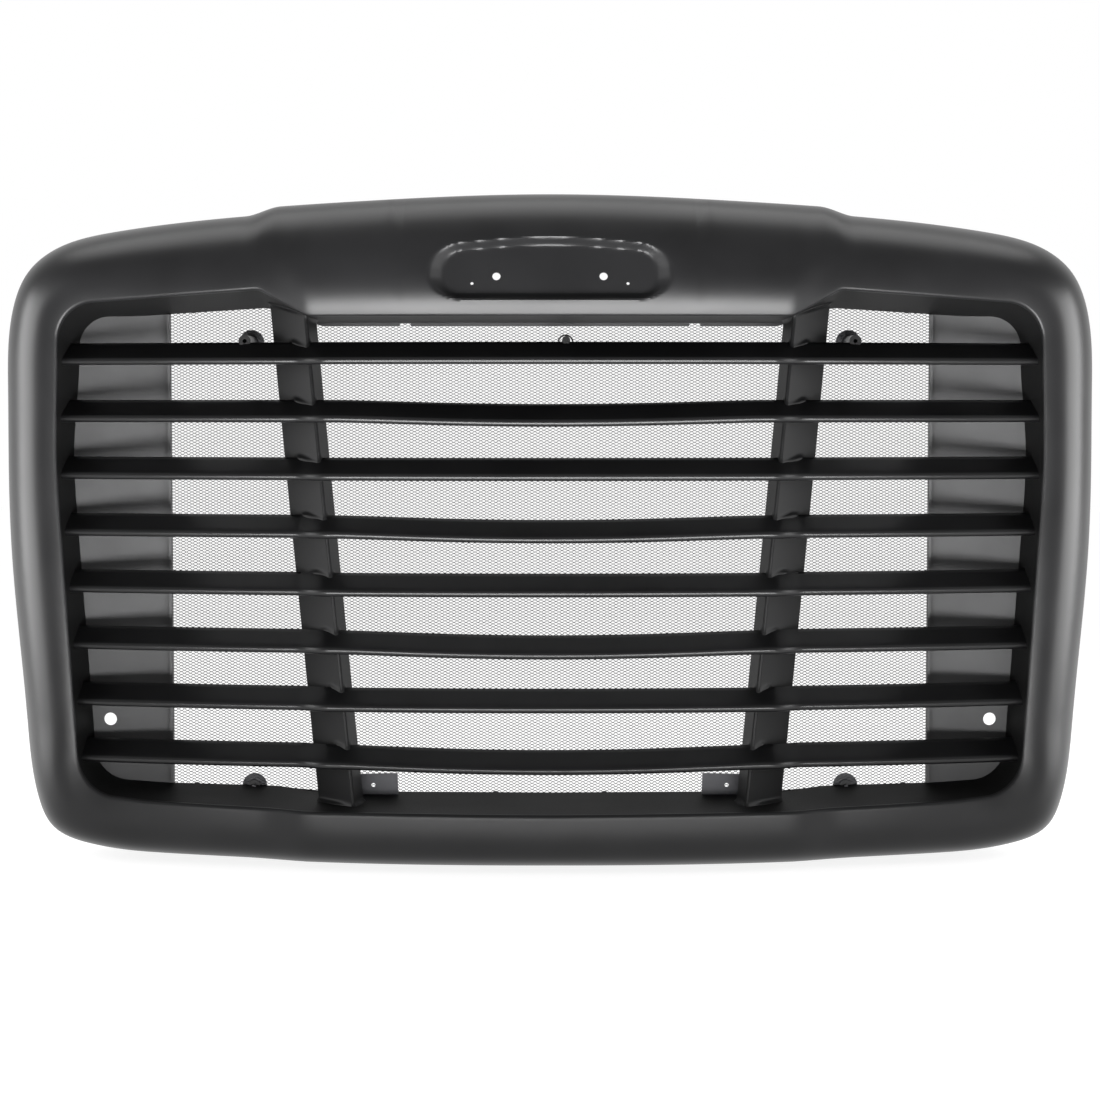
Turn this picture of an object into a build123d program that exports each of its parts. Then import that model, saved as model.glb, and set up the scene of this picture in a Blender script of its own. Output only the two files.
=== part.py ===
"""Front grille of a heavy truck: a bowed surround, eight louvre bars, two pillars and a bug screen.

Millimetres.  +X to the right seen from the front, -Y to the front, +Z up.
Origin: middle of the hood stud pattern, on the rear face of the surround's flange.
"""
from build123d import *
import os
from math import atan, atan2, cos, pi, radians, sin

os.makedirs("parts", exist_ok=True)

# Overall size
width = 1200.0
height = 718.0
half_width = width / 2
half_height = height / 2

# Surround: visible bands, depth and wall
brow_height = 133.0
brow_raise = 7.0
raise_inner_x = 290.0
raise_outer_x = 330.0
side_band = 70.0
lower_rail = 62.5
notch_rise = 28.0
notch_inner_x = 254.0
notch_outer_x = 306.0
skin_depth = 105.0
side_wall_depth = 59.0
skin_wall = 3.0
flange_wall = 3.0
flange_reach = 32.0
lip_radius = 4.0

# Chin: between the pillars the brow turns back under before it reaches the lip
chin_height = 45.0
chin_depth = 9.0

# Plan bow: one large radius, with a step forward between the pillars
bow_radius = 2000.0
bow_step = 11.0
step_inner_x = 235.0
step_outer_x = 270.0

# Louvre bars
bar_count = 8
bar_setback = 15.0
bar_depth = 26.0
bar_rise = 19.5
bar_nose_radius = 4.4
bar_rear_wall = 3.0
first_bar_drop = 45.5
last_bar_lift = 48.4
bar_droop = 4.3
droop_half_span = 225.0

# Pillars
pillar_x = 236.6
pillar_lean = 0.0953
pillar_outer_width = 41.0
pillar_inner_width = 7.0
pillar_depth = 39.0
pillar_setback = 17.0
pillar_nose_radius = 3.0

# Side panels, rails and screen
panel_wall = 2.5
panel_inner_x = 414.0
panel_rib_width = 3.0
panel_rib_height = 8.0
panel_hole_radius = 7.0
panel_hole_inset = 46.0
panel_hole_lift = 84.5
seat_overlap = 7.0
screen_wall = 1.2
screen_overlap = 22.0
rail_lap = 4.0
rail_margin = 0.5
rail_outer = 12.0
rail_notch_x = 158.0
rail_notch_width = 12.0
rail_notch_depth = 3.0

# Emblem pocket in the brow
pocket_length = 222.0
pocket_height = 54.4
pocket_sag = 9.2
pocket_crown_radius = 600.0
pocket_upper_radius = 22.0
pocket_lower_radius = 18.0
pocket_z = 275.7
pocket_end_slope = 1.33
pocket_edge_slope = 0.7
pocket_tilt = 10.0
pocket_floor_y = -118.5
emblem_hole_radius = 4.3
emblem_hole_x = 56.0
emblem_hole_drop = 8.0
emblem_pin_radius = 1.5
emblem_pin_x = 81.5
emblem_pin_drop = 15.6
emblem_nub_radius = 1.6
emblem_nub_height = 0.8
emblem_nub_lift = 9.0

# Fasteners
stud_radius = 3.0
stud_neck_radius = 3.8
stud_length = 25.0
stud_inset = 19.0
stud_side_inset = 6.0
stud_half_spacing = 70.0
screw_radius = 2.1
screw_head_radius = 4.5
screw_head_height = 3.0
screw_reach = 5.0
screw_inset = 4.0
washer_radius = 13.5
washer_wall = 1.6
boss_radius = 6.5
boss_x = 326.0
boss_drop = 24.5
lower_boss_lift = 10.5
pin_radius = 4.4
pin_x = 17.0
grommet_radius = 8.8
grommet_hole = 7.0
bracket_inner_x = 166.0
bracket_width = 45.0
bracket_height = 27.0
bracket_wall = 3.0
bracket_y = -19.0
bracket_foot = 16.0
bracket_hole_radius = 2.3
rivet_radius = 2.4
rivet_head_radius = 4.6


def ease(value, start, end):
    """0 before start, 1 after end, smooth between them."""
    share = min(max((value - start) / (end - start), 0.0), 1.0)
    return share * share * (3.0 - 2.0 * share)


def bow(x, step_start=step_inner_x, step_end=step_outer_x):
    """How far back the bowed front has gone at a distance x from the middle."""
    return x * x / (2.0 * bow_radius) + bow_step * ease(abs(x), step_start, step_end)


opening_half = half_width - side_band
opening_top = half_height - brow_height
opening_bottom = lower_rail - half_height
lip_reach = side_wall_depth + bow(opening_half)

# Outer outline of the right half, from just left of the middle at the top round to the bottom.
# The raised middle of the brow is added to it afterwards.
crown = half_height - brow_raise
with BuildLine() as outer_line:
    Spline(
        (-0.333 * half_width, 0.982 * crown),
        (0.0, crown),
        (0.333 * half_width, 0.982 * crown),
        (0.633 * half_width, 0.949 * crown),
        (0.8 * half_width, 0.916 * crown),
        (0.9 * half_width, 0.872 * crown),
        (0.958 * half_width, 0.798 * crown),
        (0.988 * half_width, 0.685 * crown),
        (1.0 * half_width, 0.42 * crown),
        (0.9975 * half_width, -0.056 * half_height),
        (0.973 * half_width, -0.53 * half_height),
        (0.943 * half_width, -0.836 * half_height),
        (0.917 * half_width, -0.916 * half_height),
        (0.842 * half_width, -0.968 * half_height),
        (0.667 * half_width, -0.99 * half_height),
        (0.333 * half_width, -0.999 * half_height),
        (0.0, -half_height),
        (-0.333 * half_width, -0.999 * half_height),
    )

# Inner lip of the right half: flat chin, step up at the pillar, corner, side, corner, bottom.
with BuildLine() as lip_line:
    FilletPolyline(
        (-60.0, opening_top),
        (notch_inner_x, opening_top),
        (notch_outer_x, opening_top + notch_rise),
        (opening_half - 4.0, opening_top + notch_rise / 2),
        (opening_half, 70.0),
        (opening_half - 24.0, opening_bottom + 13.5),
        (opening_half - 100.0, opening_bottom + 6.5),
        (opening_half / 2, opening_bottom + 1.5),
        (0.0, opening_bottom),
        (-60.0, opening_bottom),
        radius=(25.0, 15.0, 42.0, 900.0, 45.0, 300.0, 600.0, 2000.0),
    )


def reach(line, start, direction):
    """Distance from start, along direction, to the farthest crossing with an outline."""
    ray = Axis((start[0], start[1], 0.0), (direction[0], direction[1], 0.0))
    hits = []
    for edge in line.edges():
        for hit in edge.find_intersection_points(ray):
            hits.append((hit.X - start[0]) * direction[0] + (hit.Y - start[1]) * direction[1])
    return max(hits)


# Stations round the right half: straight up along the brow, a fan round the upper corner,
# straight out along the side, a fan round the lower corner, straight down along the rail.
fan_x = half_width - 170.0
upper_fan_z = half_height - 213.0
lower_fan_z = 155.0 - half_height
stations = []
for share in (0.0, 0.19, 0.37, 0.52):
    stations.append(((share * fan_x, 0.0), 90.0))
for offset in (-6.0, 6.0, 16.0, 26.0, 36.0, 46.0, 58.0, 80.0):
    stations.append(((notch_inner_x + offset, 0.0), 90.0))
stations.append((((notch_outer_x + fan_x) / 2 + 12.0, 0.0), 90.0))
for step in range(13):
    stations.append(((fan_x, upper_fan_z), 90.0 - 7.0 * step))
for share in (0.0, 0.25, 0.5, 0.75, 1.0):
    stations.append(((fan_x, upper_fan_z + share * (lower_fan_z - upper_fan_z)), 0.0))
for step in range(1, 12):
    stations.append(((fan_x, lower_fan_z), -7.5 * step))
for share in (1.0, 0.76, 0.5, 0.25, 0.0):
    stations.append(((share * fan_x, 0.0), -90.0))


def station_plane(start, angle):
    """Section plane of a station: its X runs outward, its Y runs to the rear."""
    outward = (cos(radians(angle)), 0.0, sin(radians(angle)))
    return Plane(
        origin=(start[0], 0.0, start[1]),
        x_dir=outward,
        z_dir=(-outward[2], 0.0, outward[0]),
    )


def station_sizes(start, angle):
    """Lip, rear edge, lip radius, draft, fullness and chin of the section at a station."""
    direction = (cos(radians(angle)), sin(radians(angle)))
    lip_u = reach(lip_line, start, direction)
    rim_u = reach(outer_line, start, direction)
    lip_x = start[0] + lip_u * direction[0]
    lip_z = start[1] + lip_u * direction[1]
    rim_x = start[0] + rim_u * direction[0]
    upward = max(direction[1], 0.0)
    downward = max(-direction[1], 0.0)
    rim_u += brow_raise * upward * (1.0 - ease(rim_x, raise_inner_x, raise_outer_x))
    at_side = ease(lip_x, notch_inner_x, notch_outer_x)
    chin = chin_depth * upward * (1.0 - at_side)
    draft = 3.0 + at_side * (5.0 + 7.0 * ease(lip_z, 60.0, 220.0))
    fullness = 2.2 + 1.8 * downward * downward
    lip_y = bow(lip_x, notch_inner_x, notch_outer_x) - lip_reach
    rim_y = bow(rim_x, raise_inner_x, raise_outer_x) - lip_reach + skin_depth
    return lip_u, rim_u, lip_y, rim_y, draft, fullness, chin


def lip_round(lip_y, chin):
    """Depth at which the lip's round leaves the return wall, and where it meets the face."""
    tilt = atan(2.0 * chin / chin_height)
    wall_end_y = lip_y + chin + lip_radius * cos(tilt)
    return wall_end_y, lip_radius * (1.0 - sin(tilt))


def skin_curve(start_u, front_y, end_u, end_y, fullness, chin):
    """Points from the lip to the rear edge: a chin running into a superellipse quarter."""
    points = []
    count = 12
    for step in range(count + 1):
        angle = pi / 2 * step / count
        across = sin(angle) ** (2.0 / fullness)
        back = 1.0 - cos(angle) ** (2.0 / fullness)
        u = start_u + (end_u - start_u) * across
        tuck = chin * max(1.0 - (u - start_u) / chin_height, 0.0) ** 2
        points.append((u, front_y + (end_y - front_y) * back + tuck))
    points[-1] = (end_u, end_y)
    return points


sections = [(station_plane(*station), station_sizes(*station)) for station in stations]


def section_wire(values):
    """Closed outline of the shell's section: lip, outer skin, inner skin, return wall, flange."""
    lip_u, rim_u, lip_y, rim_y, draft, fullness, chin = values
    wall_end_y, face_inset = lip_round(lip_y, chin)
    face_u = lip_u + face_inset
    inner_u = face_u + skin_wall / 3
    outer_skin = skin_curve(face_u, lip_y, rim_u, rim_y, fullness, chin)
    inner_skin = skin_curve(inner_u, lip_y + skin_wall, rim_u - skin_wall, rim_y, fullness, chin)
    wall_rear = lip_u - draft
    Line((wall_rear, 0.0), (lip_u, wall_end_y))
    RadiusArc((lip_u, wall_end_y), outer_skin[0], -lip_radius)
    Spline(outer_skin)
    Line(outer_skin[-1], inner_skin[-1])
    Spline(inner_skin)
    Polyline(
        inner_skin[0],
        (wall_rear + skin_wall, -flange_wall),
        (wall_rear + flange_reach, -flange_wall),
        (wall_rear + flange_reach, 0.0),
        (wall_rear, 0.0),
    )


# Solid behind the brow's outer skin, which trims the pocket's cup
with BuildPart() as brow_core:
    for plane, (lip_u, rim_u, lip_y, rim_y, draft, fullness, chin) in sections[:4]:
        front = skin_curve(lip_u + lip_radius, lip_y, rim_u, rim_y, fullness, chin)
        with BuildSketch(plane):
            with BuildLine():
                Spline(front)
                Polyline(front[-1], (lip_u + lip_radius, rim_y), front[0])
            make_face()
    loft(ruled=True)
    mirror(about=Plane.YZ)

# Everything outside the return wall's visible face: it trims what ends on that wall
wall_front = 60.0
wall_outside = 60.0
with BuildPart() as outside:
    for plane, (lip_u, rim_u, lip_y, rim_y, draft, fullness, chin) in sections:
        wall_end_y = lip_round(lip_y, chin)[0]
        with BuildSketch(plane):
            with BuildLine():
                Polyline(
                    (lip_u - draft, 0.0),
                    (lip_u, wall_end_y),
                    (lip_u, lip_y - wall_front),
                    (lip_u + wall_outside, lip_y - wall_front),
                    (lip_u + wall_outside, 0.0),
                    close=True,
                )
            make_face()
    loft(ruled=True)
    mirror(about=Plane.YZ)

pocket_plane = Plane(
    origin=(0.0, pocket_floor_y, pocket_z),
    x_dir=(1.0, 0.0, 0.0),
    z_dir=(0.0, -cos(radians(pocket_tilt)), sin(radians(pocket_tilt))),
)


def pocket_outline(end_growth, edge_growth):
    """Oval with a flat lower edge, grown at its ends and at its upper and lower edges."""
    half_length = pocket_length / 2 + end_growth
    half_tall = pocket_height / 2 + edge_growth
    upper = pocket_upper_radius + edge_growth
    lower = pocket_lower_radius + edge_growth
    FilletPolyline(
        (-half_length, -half_tall),
        (half_length, -half_tall),
        (half_length, half_tall - pocket_sag),
        (0.0, half_tall),
        (-half_length, half_tall - pocket_sag),
        close=True,
        radius=(lower, lower, upper, pocket_crown_radius, upper),
    )


# The pocket's walls flare more at its ends than along its edges
pocket_run = 28.0
end_wall = skin_wall * (1.0 + pocket_end_slope**2) ** 0.5
edge_wall = skin_wall * (1.0 + pocket_edge_slope**2) ** 0.5
with BuildPart() as pocket_cup:
    for lift in (-skin_wall, pocket_run):
        with BuildSketch(pocket_plane.offset(lift)):
            with BuildLine():
                pocket_outline(end_wall + pocket_end_slope * lift, edge_wall + pocket_edge_slope * lift)
            make_face()
    loft(ruled=True)
    add(brow_core.part, mode=Mode.INTERSECT)

with BuildPart() as pocket_cavity:
    for lift in (0.0, pocket_run):
        with BuildSketch(pocket_plane.offset(lift)):
            with BuildLine():
                pocket_outline(pocket_end_slope * lift, pocket_edge_slope * lift)
            make_face()
    loft(ruled=True)


def on_flange(start, angle, inset):
    """X and Z of a place on the flange, inset outward from the return wall's rear edge."""
    lip_u, _, _, _, draft, _, _ = station_sizes(start, angle)
    out = lip_u - draft + inset
    return start[0] + out * cos(radians(angle)), start[1] + out * sin(radians(angle))


def both_sides(places):
    """The given places and their mirror images."""
    return list(places) + [(-x, z) for x, z in places]


# Fixing places on the flange, as (x, z)
stud_x = opening_half + stud_side_inset
side_studs = both_sides([(stud_x, stud_half_spacing), (stud_x, -stud_half_spacing)])
edge_studs = both_sides([
    on_flange((150.0, 0.0), 90.0, stud_inset),
    on_flange((360.0, 0.0), 90.0, stud_inset),
    on_flange((360.0, 0.0), -90.0, stud_inset),
    on_flange((110.0, 0.0), -90.0, stud_inset),
])
panel_screws_at = both_sides([
    on_flange((fan_x, upper_fan_z), 50.0, screw_inset),
    on_flange((fan_x, 0.0), 0.0, screw_inset),
    on_flange((fan_x, lower_fan_z), -50.0, screw_inset),
])
screen_screws_at = both_sides(
    [on_flange((x, 0.0), 90.0, screw_inset) for x in (80.0, 220.0, 390.0)]
    + [on_flange((x, 0.0), -90.0, screw_inset) for x in (60.0, 250.0, 390.0)]
)

bar_top = opening_top - first_bar_drop
bar_bottom = opening_bottom + last_bar_lift
bar_pitch = (bar_top - bar_bottom) / (bar_count - 1)
upper_boss_z = opening_top - boss_drop
lower_boss_z = opening_bottom + lower_boss_lift
lower_bosses_at = both_sides([(boss_x, lower_boss_z)])
upper_bosses_at = both_sides([(boss_x, upper_boss_z)])

lower_boss_length = 14.0
bracket_x = bracket_inner_x + bracket_width / 2
rivet_y = bracket_y + bracket_wall + bracket_foot / 2
hole_play = 0.1
through = 8.0

with BuildPart() as surround:
    for plane, values in sections:
        with BuildSketch(plane):
            with BuildLine():
                section_wire(values)
            make_face()
    loft(ruled=True)
    mirror(about=Plane.YZ)
    add(pocket_cavity.part, mode=Mode.SUBTRACT)
    add(pocket_cup.part - pocket_cavity.part)
    with BuildSketch(pocket_plane):
        with Locations((-emblem_hole_x, -emblem_hole_drop), (emblem_hole_x, -emblem_hole_drop)):
            Circle(emblem_hole_radius)
        with Locations((-emblem_pin_x, -emblem_pin_drop), (emblem_pin_x, -emblem_pin_drop)):
            Circle(emblem_pin_radius)
    extrude(amount=through, both=True, mode=Mode.SUBTRACT)
    with BuildSketch(pocket_plane):
        with Locations((0.0, emblem_nub_lift)):
            Circle(emblem_nub_radius)
    extrude(amount=emblem_nub_height)
    with BuildSketch(Plane.XZ):
        with Locations(*lower_bosses_at):
            Circle(boss_radius)
    extrude(amount=lower_boss_length)
    with BuildSketch(Plane.XZ):
        with Locations(*(side_studs + edge_studs)):
            Circle(stud_neck_radius + hole_play)
        with Locations(*(panel_screws_at + screen_screws_at + lower_bosses_at)):
            Circle(screw_radius + hole_play)
    extrude(amount=lower_boss_length, both=True, mode=Mode.SUBTRACT)
    with Locations((-bracket_x, rivet_y, opening_bottom), (bracket_x, rivet_y, opening_bottom)):
        Cylinder(rivet_radius, 2 * through, mode=Mode.SUBTRACT)
surround.part.label = "surround"
export_step(surround.part, "parts/surround.step")


# Louvre bars: a rounded nose, a blade that rises to the rear, ends on the return wall
def nose_y(x):
    """Front of a bar's nose."""
    return bow(x) - lip_reach + bar_setback


def droop(x):
    """How far the middle of every second bar hangs below its ends."""
    share = min(abs(x) / droop_half_span, 1.0)
    return bar_droop * (1.0 - share * share) ** 1.4


def blade_outline():
    """Section of a bar: nose at the origin, blade running back and up."""
    slope = atan2(bar_rise - bar_nose_radius, bar_depth - bar_nose_radius)
    top = (
        bar_nose_radius * (1.0 - sin(slope)),
        bar_nose_radius * cos(slope),
    )
    under = (
        bar_nose_radius * (1.0 + sin(slope)),
        -bar_nose_radius * cos(slope),
    )
    rear_top = (bar_depth, bar_rise)
    rear_under = (bar_depth, bar_rise - bar_rear_wall)
    rear_mid = (bar_depth + bar_rear_wall / 2, bar_rise - bar_rear_wall / 2)
    ThreePointArc(under, (0.0, 0.0), top)
    Line(top, rear_top)
    ThreePointArc(rear_top, rear_mid, rear_under)
    Line(rear_under, under)


half_stations = [0.0, 55.0, 110.0, 165.0, 210.0, 235.0, 244.0, 252.5, 261.0, 270.0, 320.0, 370.0, 420.0, 470.0]
bar_end = opening_half + 12.0
bar_stations = [-bar_end] + [-x for x in half_stations[:0:-1]] + half_stations + [bar_end]
bars = []
for index in range(bar_count):
    nose_z = bar_top - index * bar_pitch
    hang = index % 2
    with BuildPart() as bar:
        for x in bar_stations:
            section = Plane(
                origin=(x, nose_y(x), nose_z - hang * droop(x)),
                x_dir=(0.0, 1.0, 0.0),
                z_dir=(1.0, 0.0, 0.0),
            )
            with BuildSketch(section):
                with BuildLine():
                    blade_outline()
                make_face()
        loft(ruled=True)
        add(outside.part, mode=Mode.SUBTRACT)
    bar.part.label = f"louvre_bar_{index + 1}"
    export_step(bar.part, f"parts/{bar.part.label}.step")
    bars.append(bar.part)

# Pillars: leaning wedges behind the bars, notched round each bar
pillar_top = opening_top + notch_rise + 10.0
pillar_bottom = opening_bottom - 10.0
with BuildPart() as pillar_right:
    for z in (pillar_bottom, pillar_top):
        nose_x = pillar_x + pillar_lean * z
        front = nose_y(nose_x) + pillar_setback
        rear = front + pillar_depth
        with BuildSketch(Plane.XY.offset(z)):
            with BuildLine():
                outer_nose = (nose_x + pillar_nose_radius, front + pillar_nose_radius)
                inner_nose = (nose_x - pillar_nose_radius / 2, front + pillar_nose_radius)
                ThreePointArc(outer_nose, (nose_x + 0.4, front), inner_nose)
                Polyline(
                    inner_nose,
                    (nose_x - pillar_inner_width, rear),
                    (nose_x + pillar_outer_width, rear),
                    outer_nose,
                )
            make_face()
    loft(ruled=True)
    for bar_part in bars:
        add(bar_part, mode=Mode.SUBTRACT)
    add(outside.part, mode=Mode.SUBTRACT)
pillar_right.part.label = "pillar_right"
export_step(pillar_right.part, "parts/pillar_right.step")
with BuildPart() as pillar_left:
    mirror(pillar_right.part, about=Plane.YZ)
pillar_left.part.label = "pillar_left"
export_step(pillar_left.part, "parts/pillar_left.step")


# Flat pieces behind the flange.  They share the wall's rear edge, so one helper gives its line.
def edge_line(places, inset):
    """Points that follow the return wall's rear edge at an inset, one for each station."""
    return [on_flange(start, angle, inset) for start, angle in places]


side_places = [((panel_inner_x, 0.0), 90.0)]
side_places += [place for place in stations if place[0][0] == fan_x]
side_places.append(((panel_inner_x, 0.0), -90.0))
upper_xs = (0.0, 160.0, 248.0, 262.0, 276.0, 290.0, 302.0, 314.0, 366.0)
lower_xs = (320.0, 240.0, 222.0, 205.0, 110.0, 0.0)

with BuildPart() as side_panel_right:
    with BuildSketch(Plane.XZ):
        with BuildLine():
            Polyline(*edge_line(side_places, seat_overlap), close=True)
        make_face()
        with Locations((opening_half - panel_hole_inset, opening_bottom + panel_hole_lift)):
            Circle(panel_hole_radius, mode=Mode.SUBTRACT)
        with Locations(*panel_screws_at):
            Circle(screw_radius + hole_play, mode=Mode.SUBTRACT)
    extrude(amount=-panel_wall)
    with BuildSketch(Plane.XZ):
        with BuildLine():
            Polyline(
                on_flange((panel_inner_x, 0.0), 90.0, -1.0),
                on_flange((panel_inner_x, 0.0), -90.0, -1.0),
                on_flange((panel_inner_x + panel_rib_width, 0.0), -90.0, -1.0),
                on_flange((panel_inner_x + panel_rib_width, 0.0), 90.0, -1.0),
                close=True,
            )
        make_face()
    extrude(amount=panel_rib_height)
side_panel_right.part.label = "side_panel_right"
export_step(side_panel_right.part, "parts/side_panel_right.step")
with BuildPart() as side_panel_left:
    mirror(side_panel_right.part, about=Plane.YZ)
side_panel_left.part.label = "side_panel_left"
export_step(side_panel_left.part, "parts/side_panel_left.step")

rail_end_x = panel_inner_x - 2.0


def rail_inset(x, angle):
    """The upper rail shows below the wall between the pillars; elsewhere the rails are hidden."""
    if angle < 0:
        return rail_margin
    return rail_margin - (rail_lap + rail_margin) * (1.0 - ease(x, notch_inner_x, notch_outer_x))


def strip(places):
    """Closed points of a rail along the wall's rear edge, and of its mirror image."""
    far = edge_line(places, rail_outer)
    near = [on_flange(start, angle, rail_inset(start[0], angle)) for start, angle in places]
    right = far + near[::-1]
    left = [(-x, z) for x, z in right]
    return right, left


for name, xs, angle in (
    ("screen_rail_top", upper_xs + (rail_end_x,), 90.0),
    ("screen_rail_bottom", (rail_end_x,) + lower_xs, -90.0),
):
    places = [((x, 0.0), angle) for x in xs]
    with BuildPart() as rail:
        for points in strip(places):
            with BuildSketch(Plane.XZ):
                with BuildLine():
                    Polyline(*points, close=True)
                make_face()
            extrude(amount=-panel_wall)
        if angle < 0:
            with BuildSketch(Plane.XZ):
                with Locations(*lower_bosses_at):
                    Circle(boss_radius)
            extrude(amount=-panel_wall)
        with BuildSketch(Plane.XZ):
            with Locations(*(screen_screws_at + lower_bosses_at)):
                Circle(screw_radius + hole_play)
        extrude(amount=through, both=True, mode=Mode.SUBTRACT)
        if angle > 0:
            notch_z = on_flange((rail_notch_x, 0.0), angle, -rail_lap)[1]
            with Locations((rail_notch_x, 0.0, notch_z), (-rail_notch_x, 0.0, notch_z)):
                Box(rail_notch_width, 2 * through, 2 * rail_notch_depth, mode=Mode.SUBTRACT)
    rail.part.label = name
    export_step(rail.part, f"parts/{name}.step")

screen_half = panel_inner_x + screen_overlap
upper_places = [((x, 0.0), 90.0) for x in upper_xs + (panel_inner_x,)]
upper_places.append(((fan_x, upper_fan_z), 83.0))
lower_places = [((fan_x, lower_fan_z), -82.5)]
lower_places += [((x, 0.0), -90.0) for x in (panel_inner_x,) + lower_xs]
right_edge = edge_line(upper_places, rail_outer) + edge_line(lower_places, rail_outer)
with BuildPart() as screen_mesh:
    with BuildSketch(Plane.XZ.offset(-panel_wall)):
        for side in (1.0, -1.0):
            with BuildLine():
                Polyline(*[(side * x, z) for x, z in right_edge], close=True)
            make_face()
        with Locations((pin_x, upper_boss_z)):
            Circle(grommet_hole, mode=Mode.SUBTRACT)
        with Locations(*(screen_screws_at + lower_bosses_at + upper_bosses_at)):
            Circle(screw_radius + hole_play, mode=Mode.SUBTRACT)
    extrude(amount=-screen_wall)
screen_mesh.part.label = "screen_mesh"
export_step(screen_mesh.part, "parts/screen_mesh.step")

# Bosses behind the first bar, the locating pin and its grommet
boss_sink = 3.0
with BuildPart() as screen_bosses:
    for x, z in upper_bosses_at:
        front = nose_y(x) + bar_depth - boss_sink
        with BuildSketch(Plane.XZ.offset(-panel_wall)):
            with Locations((x, z)):
                Circle(boss_radius)
                Circle(screw_radius + hole_play, mode=Mode.SUBTRACT)
        extrude(amount=panel_wall - front)
    add(bars[0], mode=Mode.SUBTRACT)
screen_bosses.part.label = "screen_bosses"
export_step(screen_bosses.part, "parts/screen_bosses.step")

with BuildPart() as locating_pin:
    with BuildSketch(Plane.XZ.offset(-panel_wall - screen_wall - 1.0)):
        with Locations((pin_x, upper_boss_z)):
            Circle(pin_radius)
    extrude(amount=panel_wall + screen_wall + 1.0 - nose_y(pin_x) - bar_depth + boss_sink)
    add(bars[0], mode=Mode.SUBTRACT)
locating_pin.part.label = "locating_pin"
export_step(locating_pin.part, "parts/locating_pin.step")

with BuildPart() as pin_grommet:
    with BuildSketch(Plane.XZ.offset(-panel_wall)):
        with Locations((pin_x, upper_boss_z)):
            Circle(grommet_radius)
            Circle(grommet_hole, mode=Mode.SUBTRACT)
    extrude(amount=1.5)
pin_grommet.part.label = "pin_grommet"
export_step(pin_grommet.part, "parts/pin_grommet.step")

screen_rear = panel_wall + screen_wall
with BuildPart() as screen_washers:
    with BuildSketch(Plane.XZ.offset(-screen_rear)):
        with Locations(*(lower_bosses_at + upper_bosses_at)):
            Circle(washer_radius)
            Circle(screw_radius + hole_play, mode=Mode.SUBTRACT)
    extrude(amount=-washer_wall)
screen_washers.part.label = "screen_washers"
export_step(screen_washers.part, "parts/screen_washers.step")


# Pan-head screws from the rear: heads behind the seat, shanks running forward
for name, places, seat in (
    ("panel_screws", panel_screws_at, panel_wall),
    ("screen_screws", screen_screws_at, screen_rear),
    ("washer_screws", lower_bosses_at + upper_bosses_at, screen_rear + washer_wall),
):
    with BuildPart() as screw_set:
        for radius, length in (
            (screw_head_radius, -screw_head_height),
            (screw_radius, seat + flange_wall + screw_reach),
        ):
            with BuildSketch(Plane.XZ.offset(-seat)):
                with Locations(*places):
                    Circle(radius)
            extrude(amount=length)
    screw_set.part.label = name
    export_step(screw_set.part, f"parts/{name}.step")

stud_head_radius = 6.0
stud_head_height = 2.0
with BuildPart() as hood_studs:
    for radius, forward, length in (
        (stud_head_radius, flange_wall, stud_head_height),
        (stud_neck_radius, flange_wall, -flange_wall),
        (stud_radius, 0.0, -stud_length),
    ):
        with BuildSketch(Plane.XZ.offset(forward)):
            with Locations(*(side_studs + edge_studs)):
                Circle(radius)
        extrude(amount=length)
hood_studs.part.label = "hood_studs"
export_step(hood_studs.part, "parts/hood_studs.step")

# Lower brackets: an upright tab on a foot that follows the return wall
foot_top = on_flange((bracket_x, 0.0), -90.0, 0.0)[1] + bracket_wall
tab_top = opening_bottom + bracket_height
with BuildPart() as lower_bracket_right:
    with BuildSketch(Plane.XZ.offset(-bracket_y)):
        with BuildLine():
            FilletPolyline(
                (bracket_inner_x, opening_bottom - 5.0),
                (bracket_inner_x + 1.0, tab_top),
                (bracket_inner_x + bracket_width, tab_top - 1.0),
                (bracket_inner_x + bracket_width, opening_bottom - 5.0),
                radius=(1.0, 4.0),
            )
            Line(
                (bracket_inner_x + bracket_width, opening_bottom - 5.0),
                (bracket_inner_x, opening_bottom - 5.0),
            )
        make_face()
        with Locations((bracket_x + 5.0, tab_top - 13.0)):
            Circle(bracket_hole_radius, mode=Mode.SUBTRACT)
    extrude(amount=-bracket_wall)
    with Locations((bracket_x, bracket_y + bracket_wall + bracket_foot / 2, foot_top - 5.0)):
        Box(bracket_width - 8.0, bracket_foot, 10.0)
    with Locations((bracket_x, rivet_y, foot_top)):
        Cylinder(rivet_radius + hole_play, 2 * through, mode=Mode.SUBTRACT)
    add(outside.part, mode=Mode.SUBTRACT)
lower_bracket_right.part.label = "lower_bracket_right"
export_step(lower_bracket_right.part, "parts/lower_bracket_right.step")
with BuildPart() as lower_bracket_left:
    mirror(lower_bracket_right.part, about=Plane.YZ)
lower_bracket_left.part.label = "lower_bracket_left"
export_step(lower_bracket_left.part, "parts/lower_bracket_left.step")

with BuildPart() as bracket_rivets:
    for x in (-bracket_x, bracket_x):
        with Locations((x, rivet_y, foot_top + 1.0)):
            Cylinder(rivet_head_radius, 2.0)
        with Locations((x, rivet_y, foot_top - 6.0)):
            Cylinder(rivet_radius, 12.0)
bracket_rivets.part.label = "bracket_rivets"
export_step(bracket_rivets.part, "parts/bracket_rivets.step")
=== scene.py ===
"""Studio scene of the truck front grille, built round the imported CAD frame."""
from math import acos, atan, atan2, ceil, cos, pi, radians, sin, tan

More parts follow.
